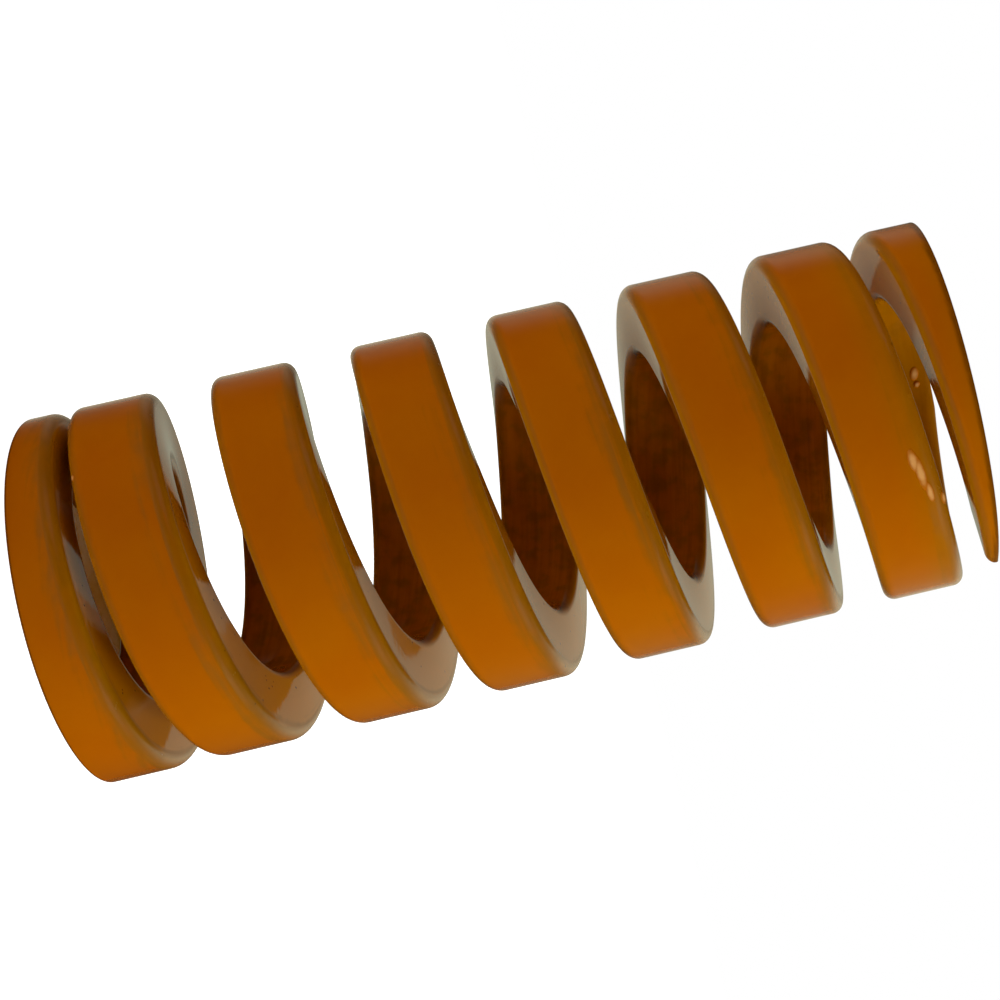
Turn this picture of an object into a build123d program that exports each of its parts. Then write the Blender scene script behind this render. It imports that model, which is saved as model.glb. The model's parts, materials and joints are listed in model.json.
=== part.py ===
from build123d import *
import math
import os

# Die spring: one length of rectangular wire coiled right-handed, with both ends closed in and
# ground square to the axis. +Z runs along the axis, and the spring stands on its ground seat at
# Z = 0, with the axis through the origin.

# Driving sizes, in millimetres
outer_diameter = 62.6       # runs in a 63 mm pocket
bore_diameter = 38.4        # slides over a 38 mm guide rod
free_length = 152.0         # between the two ground seats
wire_height = 14.0          # of the wire, along the axis
corner_chamfer = 1.3        # on all four corners of the wire

# Coiling
total_turns = 7.535
seat_gap = 0.4              # between the seat tip and the turn that closes onto it
seat_tip = 3.9              # thickness that grinding leaves at the seat end's tip
top_gap = 3.3               # the top turn is closed in, but stands this far off
top_tip = 1.8               # thickness that grinding leaves at the top end's tip

# Where the pitch changes, in turns
seat_turns = 0.9            # length of the closed seat turn, to the middle of its ramp
seat_ramp = 0.4             # over which the pitch opens after the seat turn
top_ramp = 2.4              # over which the pitch closes towards the top tip

# Working values
sizing_skim = 0.3           # the coil is swept this much oversize and sized on both diameters
points_per_turn = 12        # of the wire's centre line
start_angle = 138.5         # of the seat end's tip, in degrees about the axis

outer_radius = outer_diameter / 2
bore_radius = bore_diameter / 2
wire_width = outer_radius - bore_radius
mean_radius = (outer_radius + bore_radius) / 2

# Heights of the wire's centre at its two tips, set by what the grinding leaves there
seat_centre = seat_tip - wire_height / 2
top_centre = free_length - top_tip + wire_height / 2

# The seat turn rises by the wire's own height and the seat gap. The turns that are left share
# the rest of the length, less what the top ramp takes.
seat_rise = wire_height + seat_gap
top_pitch = wire_height + top_gap
top_share = top_ramp / 2
open_pitch = (top_centre - seat_centre - seat_rise - top_pitch * top_share) / (
    total_turns - 1 - top_share
)
seat_pitch = (seat_rise - open_pitch * (1 - seat_turns)) / seat_turns


def ramp_area(distance, length):
    """Area under a smooth step from 0 to 1 that takes this length, up to this distance."""
    share = min(max(distance / length, 0.0), 1.0)
    past_ramp = max(distance - length, 0.0)
    return length * (share**3 - share**4 / 2) + past_ramp


def wire_centre(turn):
    """Height of the wire's centre after this many turns from the seat tip."""
    opened = ramp_area(turn - seat_turns + seat_ramp / 2, seat_ramp)
    closed = ramp_area(turn - total_turns + top_ramp, top_ramp)
    return (
        seat_centre
        + seat_pitch * turn
        + (open_pitch - seat_pitch) * opened
        - (open_pitch - top_pitch) * closed
    )


def centre_line(turn):
    """Point of the wire's centre line after this many turns."""
    angle = math.radians(start_angle) + 2 * math.pi * turn
    return (
        mean_radius * math.cos(angle),
        mean_radius * math.sin(angle),
        wire_centre(turn),
    )


spans = round(total_turns * points_per_turn)
centre_points = [centre_line(total_turns * i / spans) for i in range(spans + 1)]

with BuildPart() as spring:
    with BuildLine() as wire_line:
        Spline(*centre_points)

    # Section of the wire, square to the line where it starts
    radial = Vector(*centre_points[0]) - Vector(0, 0, seat_centre)
    section_plane = Plane(
        origin=centre_points[0],
        x_dir=radial,
        z_dir=wire_line.line.edges()[0] % 0,
    )
    with BuildSketch(section_plane) as section:
        Rectangle(wire_width + 2 * sizing_skim, wire_height)
        chamfer(section.vertices(), corner_chamfer + sizing_skim)
    sweep(path=wire_line.line, is_frenet=True)

    # Size the coil on both diameters, past both ends of the wire
    with BuildSketch(Plane.XY.offset(-wire_height)):
        Circle(outer_radius)
        Circle(bore_radius, mode=Mode.SUBTRACT)
    extrude(amount=free_length + 2 * wire_height, mode=Mode.INTERSECT)

    # Grind both ends square to the axis
    split(bisect_by=Plane.XY, keep=Keep.TOP)
    split(bisect_by=Plane.XY.offset(free_length), keep=Keep.BOTTOM)

os.makedirs("parts", exist_ok=True)
spring.part.label = "spring"
export_step(spring.part, "parts/spring.step")
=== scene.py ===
"""Dresses the die spring: enamelled wire, beads of enamel, pale studio and camera.

It runs as a script, and can be kept as an add-on.
"""
import json
import math

import bpy
import numpy as np
from bpy.props import FloatProperty, FloatVectorProperty, IntProperty, PointerProperty
from mathutils import Matrix, Vector


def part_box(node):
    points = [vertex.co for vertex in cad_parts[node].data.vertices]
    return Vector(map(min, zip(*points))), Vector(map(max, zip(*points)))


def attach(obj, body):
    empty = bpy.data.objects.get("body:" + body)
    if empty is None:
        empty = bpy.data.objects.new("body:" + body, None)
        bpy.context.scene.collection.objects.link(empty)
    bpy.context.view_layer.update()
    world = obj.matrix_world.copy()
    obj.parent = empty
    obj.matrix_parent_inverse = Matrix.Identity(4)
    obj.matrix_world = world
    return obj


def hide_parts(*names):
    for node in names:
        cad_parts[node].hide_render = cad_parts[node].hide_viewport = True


bl_info = {
    "name": "Die Spring",
    "version": (1, 0, 0),
    "blender": (4, 5, 0),
    "location": "View3D > Sidebar > Die Spring",
    "description": "Coils an enamelled die spring and sets it in a pale studio",
    "category": "Add Mesh",
}

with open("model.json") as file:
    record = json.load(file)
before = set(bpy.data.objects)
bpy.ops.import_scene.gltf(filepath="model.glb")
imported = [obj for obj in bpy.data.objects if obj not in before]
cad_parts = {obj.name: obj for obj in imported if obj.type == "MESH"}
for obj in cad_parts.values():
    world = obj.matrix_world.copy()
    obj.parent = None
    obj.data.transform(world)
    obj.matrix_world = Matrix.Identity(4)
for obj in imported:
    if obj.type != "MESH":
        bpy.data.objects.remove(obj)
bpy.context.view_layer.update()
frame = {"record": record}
LOW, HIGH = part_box("spring")
BORE = next(m for m in frame["record"]["mounts"] if m["name"] == "bore")
MM = 0.001


def length(name, description, millimetres):
    """A length property, given in millimetres and kept in metres."""
    return FloatProperty(
        name=name,
        description=description,
        default=millimetres * MM,
        min=0.0,
        precision=5,
        subtype="DISTANCE",
        unit="LENGTH",
    )


def colour(name, description, value):
    """A colour property, in linear light."""
    return FloatVectorProperty(
        name=name,
        description=description,
        default=value,
        size=3,
        min=0.0,
        soft_max=1.0,
        subtype="COLOR",
    )


class SpringSizes(bpy.types.PropertyGroup):
    """Sizes of the wire and of the coil that it is wound into"""

    outer_diameter: length("Outer diameter", "Over the coil", (HIGH.x - LOW.x) / MM)
    bore_diameter: length("Bore diameter", "Inside the coil", 2 * BORE["dims"]["r_mm"])
    free_length: length("Free length", "Between the two ground seats", HIGH.z / MM)
    wire_height: length("Wire height", "Of the wire, along the spring's axis", 14.0)
    corner_radius: length("Corner radius", "Of the wire's four corners", 2.0)
    edge_break: length("Edge break", "Left by grinding where a seat meets the wire", 0.3)
    tip_round: length("Tip rounding", "Round the cut ends of the wire", 0.7)
    seat_gap: length("Seat gap", "From the seat tip to the turn that closes on it", 0.4)
    seat_tip: length("Seat tip", "Thickness that grinding leaves at the seat end", 3.9)
    top_gap: length("Top gap", "By which the closed top turn stands off", 3.3)
    top_tip: length("Top tip", "Thickness that grinding leaves at the top end", 1.8)
    total_turns: FloatProperty(name="Turns", description="From tip to tip", default=7.535)
    seat_turns: FloatProperty(
        name="Seat turns", description="Closed turns at the seat end", default=0.9
    )
    seat_ramp: FloatProperty(
        name="Seat ramp", description="Turns over which the pitch opens", default=0.4
    )
    top_ramp: FloatProperty(
        name="Top ramp", description="Turns over which the pitch closes", default=2.4
    )
    start_angle: FloatProperty(
        name="Start angle",
        description="Of the seat tip, about the axis",
        default=math.radians(138.5),
        subtype="ANGLE",
        unit="ROTATION",
    )
    rings_per_turn: IntProperty(
        name="Rings per turn", description="Sections of the wire in one turn", default=120
    )


class EnamelColours(bpy.types.PropertyGroup):
    """Colours of the enamel"""

    body: colour("Body", "Where the enamel has its full thickness", (0.45, 0.115, 0.0))
    warm: colour("Warm", "Where it is a little redder", (0.43, 0.10, 0.0))
    # Painted light: a lighter, yellower copy of the enamel, standing in for the light that the
    # flanks reflect
    flank: colour("Flank", "On the sides that face the next turn", (0.48, 0.165, 0.0))
    thin: colour("Thin", "Where it has drawn back from an edge", (0.24, 0.092, 0.0))
    # Painted shade: the dark, streaky brown of the bore, where little light gets in
    bore_shade: colour("Deep", "Where it has run thick, inside the coil", (0.20, 0.05, 0.0))
    # Painted light: a lighter olive on the bore near the open top end; the same olive also widens
    # the edge band on the top turns
    olive: colour("Olive", "Where it is thin but well lit, near the top", (0.38, 0.125, 0.0))
    # Painted highlight on the crowns of the beads
    bead: colour("Bead", "Where it has run together and dried pale", (0.72, 0.34, 0.10))
    # The speck colour serves real grit on the flanks, and painted shade along the edge that the
    # grinding cut
    speck: colour("Speck", "Grit under the gloss, and the burnt edge of a seat", (0.03, 0.01, 0.0))


NEAREST_SEEN = 0.01   # in metres, from the camera


class CameraPlace(bpy.types.PropertyGroup):
    """Where the camera stands, and how it is turned"""

    distance: length("Distance", "From the spring's axis", 351.33)
    height: length("Height", "Of the camera above the floor", 101.75)
    aim_height: length("Aim height", "Of the point on the axis that it faces", 122.2)
    aside: length("Aside", "Of that point, off the axis", 1.07)
    azimuth: FloatProperty(
        name="Azimuth",
        description="Of the camera about the axis",
        default=math.radians(-93.965),
        subtype="ANGLE",
        unit="ROTATION",
    )
    roll: FloatProperty(
        name="Roll",
        description="Lays the spring's axis across the frame",
        default=math.radians(77.09),
        subtype="ANGLE",
        unit="ROTATION",
    )
    lens: FloatProperty(name="Lens", description="Focal length", default=73.62)
    shift: FloatVectorProperty(
        name="Shift", description="Of the frame", default=(-0.2831, -0.0558), size=2
    )


# Shape of the wire

TIP_RINGS = 6           # over which a cut end is rounded
CORNER_POINTS = 9       # round each corner of the wire's section
FLANK_POINTS = 11       # between two corners, across a flank
SIDE_POINTS = 9         # between two corners, up the outer face or the bore
CORNER_SHARE = 0.96     # of a ground wire's height that its two corners may take up
FADE = 1.5              # how fast a band along an edge leaves it, as the edge is ground away
ON_SEAT = 1e-5          # in metres, from a seat's plane
BEAD_RINGS, BEAD_POINTS = 11, 32


def ramp_area(distance, span):
    """Area under a smooth step from 0 to 1 that takes this span, up to each distance."""
    share = np.clip(distance / span, 0.0, 1.0)
    return span * (share**3 - share**4 / 2) + np.maximum(distance - span, 0.0)


def smooth_step(distance, span):
    """3 s^2 - 2 s^3, where s is the share of the span that is covered."""
    share = np.clip(distance / span, 0.0, 1.0)
    return share**2 * (3 - 2 * share)


def coil_rise(sizes, turn):
    """Height of the wire's centre and its pitch after each number of turns.

    The pitch is that of the closed seat turn, steps smoothly up to the open pitch, and steps
    smoothly down towards the top tip. The height is its running sum. The open pitch is what the
    free length leaves once both tips are ground to their thickness.
    """
    wire = sizes.wire_height
    seat_centre = sizes.seat_tip - wire / 2
    top_centre = sizes.free_length - sizes.top_tip + wire / 2
    seat_rise = wire + sizes.seat_gap
    top_pitch = wire + sizes.top_gap
    top_share = sizes.top_ramp / 2
    open_pitch = (top_centre - seat_centre - seat_rise - top_pitch * top_share) / (
        sizes.total_turns - 1 - top_share
    )
    seat_pitch = (seat_rise - open_pitch * (1 - sizes.seat_turns)) / sizes.seat_turns
    past_seat = turn - sizes.seat_turns + sizes.seat_ramp / 2
    past_open = turn - sizes.total_turns + sizes.top_ramp
    height = (
        seat_centre
        + seat_pitch * turn
        + (open_pitch - seat_pitch) * ramp_area(past_seat, sizes.seat_ramp)
        - (open_pitch - top_pitch) * ramp_area(past_open, sizes.top_ramp)
    )
    pitch = (
        seat_pitch
        + (open_pitch - seat_pitch) * smooth_step(past_seat, sizes.seat_ramp)
        - (open_pitch - top_pitch) * smooth_step(past_open, sizes.top_ramp)
    )
    return height, pitch


def ring_turns(sizes):
    """Turn of each ring of the wire, and how far that ring is drawn in to round the cut ends.

    Evenly spaced between the ends, and closer at each end, where the rings follow a quarter
    circle: at a depth d from the cut the section is inset by e - sqrt(e^2 - (e - d)^2), where
    e is the tip rounding.
    """
    middle_radius = (sizes.outer_diameter + sizes.bore_diameter) / 4
    quarter = np.linspace(0.0, math.pi / 2, TIP_RINGS)
    depth = sizes.tip_round * (1 - np.cos(quarter))
    inset = sizes.tip_round * (1 - np.sin(quarter))
    step = depth / (2 * math.pi * middle_radius)
    first, last = step[-1], sizes.total_turns - step[-1]
    count = round(sizes.total_turns * sizes.rings_per_turn)
    even = np.linspace(first, last, count)
    turn = np.concatenate([step[:-1], even, (sizes.total_turns - step[:-1])[::-1]])
    drawn_in = np.concatenate([inset[:-1], np.zeros(count), inset[:-1][::-1]])
    return turn, drawn_in


def spread(count):
    """Shares between 0 and 1, closer together near both ends: (1 - cos(pi s)) / 2."""
    share = np.linspace(0.0, 1.0, count + 2)[1:-1]
    return (0.5 - 0.5 * np.cos(math.pi * share))[None, :]


def wire_sections(sizes, turn, drawn_in):
    """Radius and height of each point of each ring, and what the enamel has to know there.

    A ring is a rectangle with its corners rounded as quarter ellipses. Its flanks lie half the
    wire's height above and below its centre, leaned by the helix, and are cut off at the two
    seats. A corner is a circle until the cut reaches it: cut to a depth c, a circle of radius q
    keeps a height of q - c and a width of q (1 - sqrt(1 - (1 - c/q)^2)). Both lose half of what
    the ring is drawn in, and neither is less than the edge break. Where the wire is ground too
    thin for its two corners, they are lowered to fit.

    The marks are the girth from the ring's first point, the distance round the section from
    each kind of edge, and the share of the way in from the outer face to the bore.
    """
    outer, inner = sizes.outer_diameter / 2, sizes.bore_diameter / 2
    middle = (outer + inner) / 2
    height, pitch = coil_rise(sizes, turn)
    centre, inset = height[:, None], drawn_in[:, None]
    slope = (pitch / (2 * math.pi * middle))[:, None]
    lean = np.arctan(slope)
    low, high = inset, sizes.free_length - inset
    half = sizes.wire_height / 2 - inset

    def reach(radius):
        return half * (np.cos(lean) + np.sin(lean) * slope * middle / radius)

    def flank(sign, radius):
        return np.clip(centre + sign * reach(radius), low, high)

    angle = np.linspace(0.0, 1.0, CORNER_POINTS)[None, :] * math.pi / 2
    along_flank, along_side = spread(FLANK_POINTS), spread(SIDE_POINTS)
    circle, broken = sizes.corner_radius, sizes.edge_break
    corners = {}
    for side, wall in ((1, outer - inset), (-1, inner + inset)):
        top, bottom = flank(1, wall), flank(-1, wall)
        reached = {}
        for sign in (1, -1):
            over = centre + sign * reach(wall)
            cut = np.clip(sign * (over - np.clip(over, low, high)), 0.0, circle)
            left = 1 - cut / circle
            tall = np.maximum(circle - cut - inset / 2, broken)
            wide = np.maximum(circle * (1 - np.sqrt(1 - left**2)) - inset / 2, broken)
            reached[sign] = (tall, wide)
        if side == 1:
            outer_reach = reached
        both = reached[1][0] + reached[-1][0]
        fit = np.minimum(1.0, CORNER_SHARE * (top - bottom) / both)
        for sign in (1, -1):
            tall, wide = reached[sign][0] * fit, reached[sign][1]
            radius = wall - side * wide * (1 - np.cos(angle))
            edge = flank(sign, wall - side * wide)
            z = edge - sign * tall * (1 - np.sin(angle))
            corners[side, sign] = (radius, z)

    def reversed_ring(pair):
        return pair[0][:, ::-1], pair[1][:, ::-1]

    def flat(start, end, share, sign=0):
        radius = start[0][:, -1:] + (end[0][:, :1] - start[0][:, -1:]) * share
        if sign:
            return radius, flank(sign, radius)
        return radius, start[1][:, -1:] + (end[1][:, :1] - start[1][:, -1:]) * share

    out_top, in_top = corners[1, 1], reversed_ring(corners[-1, 1])
    in_low, out_low = corners[-1, -1], reversed_ring(corners[1, -1])
    blocks = [
        out_top,
        flat(out_top, in_top, along_flank, 1),
        in_top,
        flat(in_top, in_low, along_side),
        in_low,
        flat(in_low, out_low, along_flank, -1),
        out_low,
        flat(out_low, out_top, along_side),
    ]
    radius = np.concatenate([b[0] for b in blocks], axis=1)
    z = np.concatenate([b[1] for b in blocks], axis=1)
    across = np.diff(radius, axis=1, append=radius[:, :1])
    up = np.diff(z, axis=1, append=z[:, :1])
    round_it = np.cumsum(np.hypot(across, up), axis=1)
    girth = round_it - round_it[:, :1]
    starts = np.cumsum([0] + [b[0].shape[1] for b in blocks])
    half_corner = CORNER_POINTS // 2

    def from_corner(block):
        away = np.abs(girth - girth[:, starts[block] + half_corner][:, None])
        return np.minimum(away, round_it[:, -1:] - away)

    over, under = from_corner(0), from_corner(6)
    kept_over, kept_under = outer_reach[1][0] - broken, outer_reach[-1][0] - broken
    marks = {
        "girth": girth,
        "over_edge": over + FADE * (circle - broken - kept_over),
        "under_edge": under + FADE * (circle - broken - kept_under),
        "ground_edge": np.minimum(over + FADE * kept_over, under + FADE * kept_under),
        "inner_edge": np.minimum(from_corner(2), from_corner(4)),
        "inside": np.clip((outer - radius) / (outer - inner), 0.0, 1.0),
    }
    return radius, z, marks


def skin_faces(rings, points, copies=1):
    """Quads between neighbouring rings, and a fan of triangles over each end, for each copy.

    Each copy has its rings' vertices first, and then the hub of each fan.
    """
    ring, point = np.meshgrid(np.arange(rings - 1), np.arange(points), indexing="ij")
    following = (point + 1) % points
    corners = [
        ring * points + point,
        (ring + 1) * points + point,
        (ring + 1) * points + following,
        ring * points + following,
    ]
    quads = np.stack(corners, axis=-1).reshape(-1, 4)
    around = np.arange(points)
    after = (around + 1) % points
    last = (rings - 1) * points
    hub = np.full(points, rings * points)
    start_fan = np.stack([hub, around, after], axis=-1)
    end_fan = np.stack([hub + 1, last + after, last + around], axis=-1)
    fans = np.concatenate([start_fan, end_fan])
    first = (rings * points + 2) * np.arange(copies)[:, None, None]
    return (quads + first).reshape(-1, 4).tolist() + (fans + first).reshape(-1, 3).tolist()


def wound(sizes, turn, radius, z):
    """The point at each turn, radius and height: (r cos a, r sin a, z).

    The angle a is the start angle plus that many full turns.
    """
    angle = sizes.start_angle + 2 * math.pi * turn
    return np.stack([radius * np.cos(angle), radius * np.sin(angle), z], axis=-1)


def build_wire(sizes):
    """The wire's section carried along the coil, ring by ring, and closed over its cut ends."""
    turn, drawn_in = ring_turns(sizes)
    radius, z, marks = wire_sections(sizes, turn, drawn_in)
    skin = wound(sizes, turn[:, None], radius, z)
    rings, points = radius.shape
    vertices = np.concatenate([skin.reshape(-1, 3), skin[[0, -1]].mean(axis=1)])
    mesh = smooth_mesh("enamelled_wire", vertices, skin_faces(rings, points))
    middle = (sizes.outer_diameter + sizes.bore_diameter) / 4
    marks["run"] = np.repeat(2 * math.pi * middle * turn, points).reshape(rings, points)
    marks["seat"] = ((z < ON_SEAT) | (z > sizes.free_length - ON_SEAT)).astype(float)
    for name, values in marks.items():
        store_values(mesh, name, np.append(values.ravel(), values[[0, -1]].mean(axis=1)))
    return mesh


BEADS = (
    # turn, wall, and in mm: height from that wall's middle, length, width, height off the wall
    (6.905, "inner", 3.3, 3.4, 1.7, 0.22),
    (6.888, "inner", 3.7, 1.6, 1.2, 0.26),
    (6.396, "outer", 3.6, 3.2, 1.7, 0.12),
    (6.408, "outer", 4.2, 5.0, 1.5, 0.14),
    (6.426, "outer", 4.8, 3.0, 1.2, 0.10),
    (6.436, "shoulder", 0.2, 2.0, 1.1, 0.20),
    (1.250, "heel", 0.0, 1.2, 0.9, 0.22),
)


def build_beads(sizes):
    """Beads of enamel that ran together and dried: flat ellipsoids that follow the wire.

    At polar angle p and bearing b a bead's point lies l/2 sin p cos b along the wire,
    w/2 sin p sin b across it and h cos p above it. The crown is 1 - sin p on the upper half.
    """
    outer, inner = sizes.outer_diameter / 2, sizes.bore_diameter / 2
    cut_corner = sizes.corner_radius * (1 - math.sqrt(0.5))
    edge = sizes.wire_height / 2 - cut_corner
    walls = {
        # radius and height of the wall's middle, and the angle by which it faces up
        "outer": (outer, 0.0, 0.0),
        "inner": (inner, 0.0, math.pi),
        "shoulder": (outer - cut_corner, edge, math.pi / 4),
        "heel": (outer - cut_corner, -edge, -math.pi / 4),
    }
    table = [(turn, *walls[wall], *(MM * size for size in rest)) for turn, wall, *rest in BEADS]
    turn, wall_radius, rise, lean, offset, span, width, tall = np.array(table).T[:, :, None]

    polar = np.repeat(np.linspace(0.0, math.pi, BEAD_RINGS + 2)[1:-1], BEAD_POINTS)
    polar = np.append(polar, [0.0, math.pi])
    round_ring = np.arange(BEAD_POINTS) * 2 * math.pi / BEAD_POINTS
    bearing = np.append(np.tile(round_ring, BEAD_RINGS), [0.0, 0.0])
    along = span / 2 * np.sin(polar) * np.cos(bearing)
    across = offset / np.cos(lean) + width / 2 * np.sin(polar) * np.sin(bearing)
    above = tall * np.cos(polar)
    turns = turn + along / (math.pi * (outer + inner))
    height, _ = coil_rise(sizes, turns)
    radius = wall_radius - across * np.sin(lean) + above * np.cos(lean)
    z = height + rise + across * np.cos(lean) + above * np.sin(lean)
    skin = wound(sizes, turns, radius, z).reshape(-1, 3)
    faces = skin_faces(BEAD_RINGS, BEAD_POINTS, len(BEADS))
    mesh = smooth_mesh("enamel_beads", skin, faces)
    crown = np.where(np.cos(polar) > 0.0, 1.0 - np.sin(polar), 0.0)
    store_values(mesh, "crown", np.tile(crown, len(BEADS)))
    return mesh


def smooth_mesh(name, vertices, faces):
    mesh = bpy.data.meshes.new(name)
    mesh.from_pydata(vertices.tolist(), [], faces)
    mesh.polygons.foreach_set("use_smooth", np.ones(len(mesh.polygons), dtype=bool))
    mesh.update()
    return mesh


def store_values(mesh, name, values):
    """Keeps one number for each vertex, for the material to read."""
    layer = mesh.attributes.new(name, "FLOAT", "POINT")
    layer.data.foreach_set("value", values.astype(np.float32))


# Materials


class Value:
    """A number that varies over a surface. Sums written with it become Math nodes."""

    def __init__(self, recipe, socket):
        self.recipe = recipe
        self.socket = socket

    def __add__(self, other):
        return self.recipe.maths("ADD", self, other)

    __radd__ = __add__

    def __mul__(self, other):
        return self.recipe.maths("MULTIPLY", self, other)

    __rmul__ = __mul__

    def __sub__(self, other):
        return self.recipe.maths("SUBTRACT", self, other)

    def __rsub__(self, other):
        return self.recipe.maths("SUBTRACT", other, self)

    def between(self, low, high):
        """0 below low, 1 above high, and a smooth step from one to the other."""
        settings = {"interpolation_type": "SMOOTHSTEP"}
        return self.recipe.add("MapRange", settings, {0: self, 1: low, 2: high})


class Recipe:
    """Puts down the nodes of one material or world."""

    def __init__(self, owner):
        owner.use_nodes = True
        self.tree = owner.node_tree
        self.tree.nodes.clear()

    def add(self, kind, settings=None, inputs=None, output=0):
        """One node, with its settings set first and then its sockets given numbers or links."""
        node = self.tree.nodes.new("ShaderNode" + kind)
        for name, setting in (settings or {}).items():
            setattr(node, name, setting)
        for key, given in (inputs or {}).items():
            if isinstance(given, Value):
                self.tree.links.new(given.socket, node.inputs[key])
            else:
                node.inputs[key].default_value = given
        return Value(self, node.outputs[output]) if node.outputs else None

    def maths(self, operation, *operands):
        return self.add("Math", {"operation": operation}, dict(enumerate(operands)))

    def attribute(self, name):
        return self.add("Attribute", {"attribute_name": name}, output="Fac")

    def noise(self, vector, scale, detail):
        """Noise from 0 to 1, a half on average."""
        return self.add("TexNoise", None, {"Vector": vector, "Scale": scale, "Detail": detail})

    def blend(self, share, first, second):
        """A colour between two, by share."""
        return self.add("Mix", {"data_type": "RGBA"}, {0: share, 6: first, 7: second}, 2)

    def paint(self, base, roughness, height, relief):
        """The closing nodes of an enamel: its colour, roughness and fine relief."""
        bumps = {"Strength": relief, "Distance": BUMP_DEPTH, "Height": height}
        normal = self.add("Bump", None, bumps)
        inputs = {"Base Color": base, "Roughness": roughness, "IOR": IOR, "Normal": normal}
        shader = self.add("BsdfPrincipled", None, inputs)
        self.add("OutputMaterial", None, {"Surface": shader})


def rgba(value):
    return (*value, 1.0)


# How the enamel lies, in metres. Beside an edge, a band is full up to the first distance and
# gone at the second. Along the wire, a colour starts at the first length and is full at the
# second, both from the seat tip.

OVER_BAND = (0.0006, 0.0032)    # olive, along the outer corner that faces up
UNDER_BAND = (0.0003, 0.0014)   # olive, along the outer corner that faces down
RIM_BAND = (0.0003, 0.0013)     # olive, along the bore's two corners
# Painted shade, along the line that the grinding cut at each seat
SEAT_SHADE_BAND = (0.0002, 0.0009)   # dark, along the line that the grinding cut
FAR_BAND = (0.001, 0.006)       # a fainter olive, along the outer corner that faces up
FAR_START = (0.875, 0.985)      # where the fainter olive shows
# Painted light on the bore near the top end starts and is full over this length
LIT_BORE_START = (1.045, 1.075)      # where the bore is olive too

# Fineness of the noises, per metre
CLOUD, MOTTLE, PEEL = 50.0, 330.0, 900.0
GRIT, GRIT_CLUSTERS = 750.0, 420.0
STREAK_ALONG, STREAK_ROUND, STREAK_INWARD = 50.0, 1100.0, 3.0
GRINDING = (2600.0, 90.0, 1.0)

# Roughness of the gloss, and what its clouds, the thin bands and the seats add to it
ROUGH, ROUGH_CLOUDS, ROUGH_THIN, ROUGH_SEAT = 0.025, 0.03, 0.30, 0.15
BEAD_ROUGH, BEAD_ROUGH_CLOUDS = 0.12, 0.1

IOR = 1.5
BUMP_DEPTH = 0.0002   # in metres
WIRE_BUMP, BEAD_BUMP = 0.06, 0.1


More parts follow.
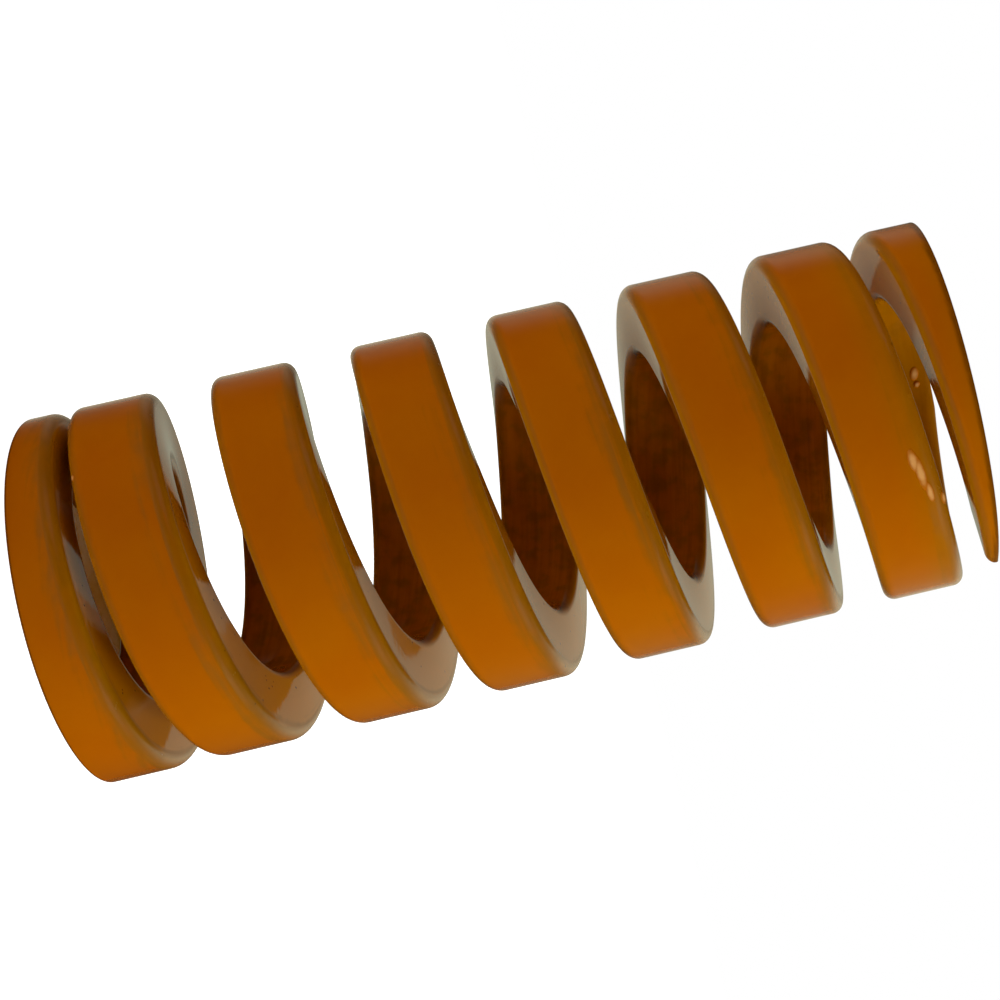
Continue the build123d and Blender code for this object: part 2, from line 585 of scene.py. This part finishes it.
def enamel(colours):
    """Gloss orange-brown enamel: olive where it thins over the edges, with painted shade inside
    the coil and painted light on the flanks and on the bore near the top.

    The wire's own coordinates, run along it and girth round it, carry the streaks. The distance
    from each corner, made ragged by noise, draws the bands along the edges. Grit lies on the
    flanks, and the seats show the grinding under the enamel.
    """
    material = bpy.data.materials.new("orange_brown_enamel")
    mix = Recipe(material)
    spot = mix.add("TexCoord", output="Object")
    run, girth = mix.attribute("run"), mix.attribute("girth")
    over, under = mix.attribute("over_edge"), mix.attribute("under_edge")
    rim, inside = mix.attribute("inner_edge"), mix.attribute("inside")
    seat = mix.attribute("seat")

    drawn = mix.add(
        "CombineXYZ",
        inputs={0: run * STREAK_ALONG, 1: girth * STREAK_ROUND, 2: inside * STREAK_INWARD},
    )
    streak = mix.noise(drawn, 1.0, 2.0)
    cloud = mix.noise(spot, CLOUD, 3.0)
    mottle = mix.noise(spot, MOTTLE, 4.0)
    peel = mix.noise(spot, PEEL, 1.0)
    grit = mix.add("TexVoronoi", None, {"Vector": spot, "Scale": GRIT}, "Distance")
    clusters = mix.noise(spot, GRIT_CLUSTERS, 0.0).between(0.65, 0.69)
    ground = mix.add("VectorMath", {"operation": "MULTIPLY"}, {0: spot, 1: GRINDING})
    grinding = mix.noise(ground, 1.0, 3.0) * seat

    ragged = (mottle - 0.5) * 0.0030 + (streak - 0.5) * 0.0050
    over_band = 1.0 - (over + ragged).between(*OVER_BAND)
    under_band = 1.0 - (under + ragged * 0.3).between(*UNDER_BAND)
    rim_band = 1.0 - (rim + ragged * 0.2).between(*RIM_BAND)
    # Painted shade: a dark line along the edge that the grinding cut
    shaded = 1.0 - (mix.attribute("ground_edge") + ragged * 0.1).between(*SEAT_SHADE_BAND)
    thin = mix.maths("MAXIMUM", over_band * 0.9, under_band * 0.6)
    thin = mix.maths("MAXIMUM", thin, rim_band * 0.6) * (mottle * 0.7 + 0.4)
    bore = inside.between(0.9, 0.99)
    off_face = inside.between(0.02, 0.1)
    flank = off_face * (1.0 - bore)
    speck = (1.0 - grit.between(0.10, 0.22)) * clusters * flank
    # Painted shade: streaks along the wire that darken the bore and dim its painted light near the
    # top
    shade_streaks = (streak * 1.1 + mottle * 0.9 - 0.65).between(0.0, 1.0)
    # Painted light: the bore near the open top end, where more light gets in
    top = bore * run.between(*LIT_BORE_START)
    far_band = run.between(*FAR_START) * (1.0 - over.between(*FAR_BAND)) * (1.0 - off_face)

    body = mix.blend(cloud.between(0.3, 0.7), rgba(colours.body), rgba(colours.warm))
    # Painted light: the flanks take the lighter flank colour
    base = mix.blend(flank, body, rgba(colours.flank))
    base = mix.blend(thin, base, rgba(colours.thin))
    # Painted shade: the bore darkened in mottled patches and along the streaks
    base = mix.blend(bore * mottle.between(0.45, 0.65) * 0.5, base, rgba(colours.thin))
    base = mix.blend(bore * shade_streaks * 0.75, base, rgba(colours.bore_shade))
    # Painted light: olive on the bore near the top, dimmed along the shade streaks
    base = mix.blend(top * (0.85 - shade_streaks * 0.4), base, rgba(colours.olive))
    base = mix.blend(far_band * (mottle * 0.8 + 0.1), base, rgba(colours.olive))
    # Real grit, and painted shade along the ground edge
    base = mix.blend(speck * 0.8 + shaded * 0.6, base, rgba(colours.speck))
    roughness = cloud * ROUGH_CLOUDS + thin * ROUGH_THIN + seat * ROUGH_SEAT + ROUGH
    height = peel * 0.6 + mottle * 0.6 + streak * 0.3 - speck * 0.5 + grinding * 3.0
    mix.paint(base, roughness, height, WIRE_BUMP)
    return material


def bead_enamel(colours):
    """The same enamel, with a painted highlight that pales towards the crown of each bead."""
    material = bpy.data.materials.new("bead_enamel")
    mix = Recipe(material)
    cloud = mix.noise(mix.add("TexCoord", output="Object"), PEEL, 2.0)
    # Painted highlight: paler towards each bead's crown, made ragged by noise
    pale = (mix.attribute("crown") + (cloud - 0.5) * 0.6).between(0.05, 0.8)
    base = mix.blend(pale, rgba(colours.body), rgba(colours.bead))
    mix.paint(base, cloud * BEAD_ROUGH_CLOUDS + BEAD_ROUGH, cloud, BEAD_BUMP)
    return material


# Where the light comes from. Azimuths and elevations are in degrees.

GLOW = (
    # azimuth, elevation, tightness and strength of a soft patch of light, seen in the gloss
    (45, 35, 8, 0.36),
    (58, 25, 30, 0.40),
    (75, 25, 30, 0.30),
    (90, -25, 30, 0.18),
    (74, 8, 40, 0.40),
    (98, -8, 40, 0.42),
    (112, -8, 40, 0.15),
    (128, 5, 30, 0.22),
)
GLOW_TINT = (1.0, 1.05, 0.8)
FLOOR_GLOW = 0.36               # of the floor, for everything but the camera
FLOOR_REACH = 3.0               # in metres, from the axis to each side
FLOOR_SHADE = (0.0245, 0.029)   # in metres from the axis, over which the floor's shade ends
WHITE = (1.0, 1.0, 1.0, 1.0)
SHADE = (0.04, 0.018, 0.0, 1.0)
SOFTBOX_SIZE, SOFTBOX_DISTANCE = 1.0, 1.6   # in metres
SOFTBOXES = (
    # name, azimuth, elevation, power in watts, colour
    ("left_softbox", -165, 35, 8.2, (1.0, 0.87, 0.93)),
    ("front_softbox", -50, 35, 2.4, (1.0, 0.65, 0.75)),
    ("right_softbox", -17, 27, 19.4, (0.86, 1.0, 0.9)),
    ("back_softbox", 60, 42, 1.9, (0.95, 1.0, 0.76)),
)


def heading(azimuth, elevation):
    """The direction at an azimuth about the axis and an elevation above the floor, in radians."""
    level = math.cos(elevation)
    return Vector((level * math.cos(azimuth), level * math.sin(azimuth), math.sin(elevation)))


def studio_floor():
    """White paper, in shadow inside the coil."""
    material = bpy.data.materials.new("white_paper")
    mix = Recipe(material)
    spot = mix.add("TexCoord", output="Object")
    out = mix.add("VectorMath", {"operation": "LENGTH"}, {0: spot}, "Value")
    open_floor = out.between(*FLOOR_SHADE)
    seen = mix.add("LightPath", output="Is Camera Ray")
    bright = open_floor * (seen * (1.0 - FLOOR_GLOW) + FLOOR_GLOW)
    shader = mix.add(
        "BsdfPrincipled",
        None,
        {
            "Base Color": (0.9, 0.9, 0.9, 1.0),
            "Roughness": 0.9,
            "Specular IOR Level": 0.0,
            "Emission Color": mix.blend(bright, SHADE, WHITE),
            "Emission Strength": 1.0,
        },
    )
    mix.add("OutputMaterial", None, {"Surface": shader})
    return material


def studio_glow():
    """Soft patches of light behind the spring and dark in front of it.

    A patch is exp(k (c - 1)), where c is the cosine between a direction and the patch's own
    and k its tightness. The camera sees plain white.
    """
    world = bpy.data.worlds.new("studio")
    sky = Recipe(world)
    towards = sky.add("TexCoord", output="Generated")
    seen = sky.add("LightPath", output="Is Camera Ray")
    patches = []
    for azimuth, elevation, tightness, strength in GLOW:
        centre = heading(math.radians(azimuth), math.radians(elevation))
        inputs = {0: towards, 1: centre}
        facing = sky.add("VectorMath", {"operation": "DOT_PRODUCT"}, inputs, "Value")
        patches.append(sky.maths("EXPONENT", (facing - 1.0) * tightness) * strength)
    tinted = {0: GLOW_TINT, "Scale": sum(patches)}
    glow = sky.add("VectorMath", {"operation": "SCALE"}, tinted)
    shown = sky.blend(seen, glow, WHITE)
    sky.add("OutputWorld", None, {"Surface": sky.add("Background", None, {"Color": shown})})
    return world


# Operators


def place(name, data):
    piece = bpy.data.objects.new(name, data)
    bpy.context.scene.collection.objects.link(piece)
    return piece


class SPRING_OT_wire(bpy.types.Operator):
    """Coil the enamelled wire from tip to tip"""

    bl_idname = "spring.wire"
    bl_label = "Enamelled Wire"

    def execute(self, context):
        mesh = build_wire(context.scene.spring_sizes)
        mesh.materials.append(enamel(context.scene.enamel_colours))
        piece = place("enamelled_wire", mesh)
        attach(piece, "root")
        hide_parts("spring")
        return {"FINISHED"}


class SPRING_OT_beads(bpy.types.Operator):
    """Set the dried beads of enamel on the wire"""

    bl_idname = "spring.beads"
    bl_label = "Enamel Beads"

    def execute(self, context):
        mesh = build_beads(context.scene.spring_sizes)
        mesh.materials.append(bead_enamel(context.scene.enamel_colours))
        piece = place("enamel_beads", mesh)
        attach(piece, "root")
        return {"FINISHED"}


class SPRING_OT_stage(bpy.types.Operator):
    """Lay the pale floor and light it softly all round"""

    bl_idname = "spring.stage"
    bl_label = "Pale Studio"

    def execute(self, context):
        mesh = bpy.data.meshes.new("floor")
        corners = [(-1, -1), (1, -1), (1, 1), (-1, 1)]
        vertices = [(FLOOR_REACH * x, FLOOR_REACH * y, 0.0) for x, y in corners]
        mesh.from_pydata(vertices, [], [(0, 1, 2, 3)])
        mesh.materials.append(studio_floor())
        floor = place("floor", mesh)
        floor.visible_glossy = False
        context.scene.world = studio_glow()
        middle = Vector((0, 0, HIGH.z / 2))
        for name, azimuth, elevation, watts, tint in SOFTBOXES:
            away = heading(math.radians(azimuth), math.radians(elevation))
            self.softbox(name, middle, away, watts, tint)
        context.scene.view_settings.view_transform = "Standard"
        return {"FINISHED"}

    def softbox(self, name, middle, away, watts, tint):
        light = bpy.data.lights.new(name, "AREA")
        light.energy = watts
        light.color = tint
        light.size = SOFTBOX_SIZE
        lamp = place(name, light)
        lamp.location = middle + SOFTBOX_DISTANCE * away
        lamp.rotation_euler = away.to_track_quat("Z", "Y").to_euler()
        lamp.visible_glossy = False


class SPRING_OT_camera(bpy.types.Operator):
    """Stand the camera beside the spring, rolled so that the axis lies across the frame"""

    bl_idname = "spring.camera"
    bl_label = "Camera"

    def execute(self, context):
        view = context.scene.spring_view
        stand = view.distance * heading(view.azimuth, 0.0) + Vector((0, 0, view.height))
        aim = Vector((view.aside, 0.0, view.aim_height))
        forward = (aim - stand).normalized()
        right = forward.cross(Vector((0, 0, 1))).normalized()
        up = right.cross(forward)
        across = math.cos(view.roll) * right + math.sin(view.roll) * up
        upward = -math.sin(view.roll) * right + math.cos(view.roll) * up
        camera = bpy.data.cameras.new("camera")
        camera.lens = view.lens
        camera.shift_x, camera.shift_y = view.shift
        camera.clip_start = NEAREST_SEEN
        holder = place("camera", camera)
        turned = Matrix((across, upward, -forward)).transposed().to_4x4()
        holder.matrix_world = Matrix.Translation(stand) @ turned
        context.scene.camera = holder
        return {"FINISHED"}


class SPRING_PT_panel(bpy.types.Panel):
    """Sizes, colours and pieces of the die spring"""

    bl_label = "Die Spring"
    bl_idname = "SPRING_PT_panel"
    bl_space_type = "VIEW_3D"
    bl_region_type = "UI"
    bl_category = "Die Spring"

    def draw(self, context):
        scene = context.scene
        for group in (scene.spring_sizes, scene.enamel_colours, scene.spring_view):
            column = self.layout.column(align=True)
            for name in group.__annotations__:
                column.prop(group, name)
        for operator in (SPRING_OT_wire, SPRING_OT_beads, SPRING_OT_stage, SPRING_OT_camera):
            self.layout.operator(operator.bl_idname)


CLASSES = (
    SpringSizes,
    EnamelColours,
    CameraPlace,
    SPRING_OT_wire,
    SPRING_OT_beads,
    SPRING_OT_stage,
    SPRING_OT_camera,
    SPRING_PT_panel,
)


def register():
    for cls in CLASSES:
        bpy.utils.register_class(cls)
    bpy.types.Scene.spring_sizes = PointerProperty(type=SpringSizes)
    bpy.types.Scene.enamel_colours = PointerProperty(type=EnamelColours)
    bpy.types.Scene.spring_view = PointerProperty(type=CameraPlace)


def unregister():
    del bpy.types.Scene.spring_view
    del bpy.types.Scene.enamel_colours
    del bpy.types.Scene.spring_sizes
    for cls in reversed(CLASSES):
        bpy.utils.unregister_class(cls)


def main():
    register()
    bpy.ops.spring.wire()
    bpy.ops.spring.beads()
    bpy.ops.spring.stage()
    bpy.ops.spring.camera()


if __name__ == "__main__":
    main()
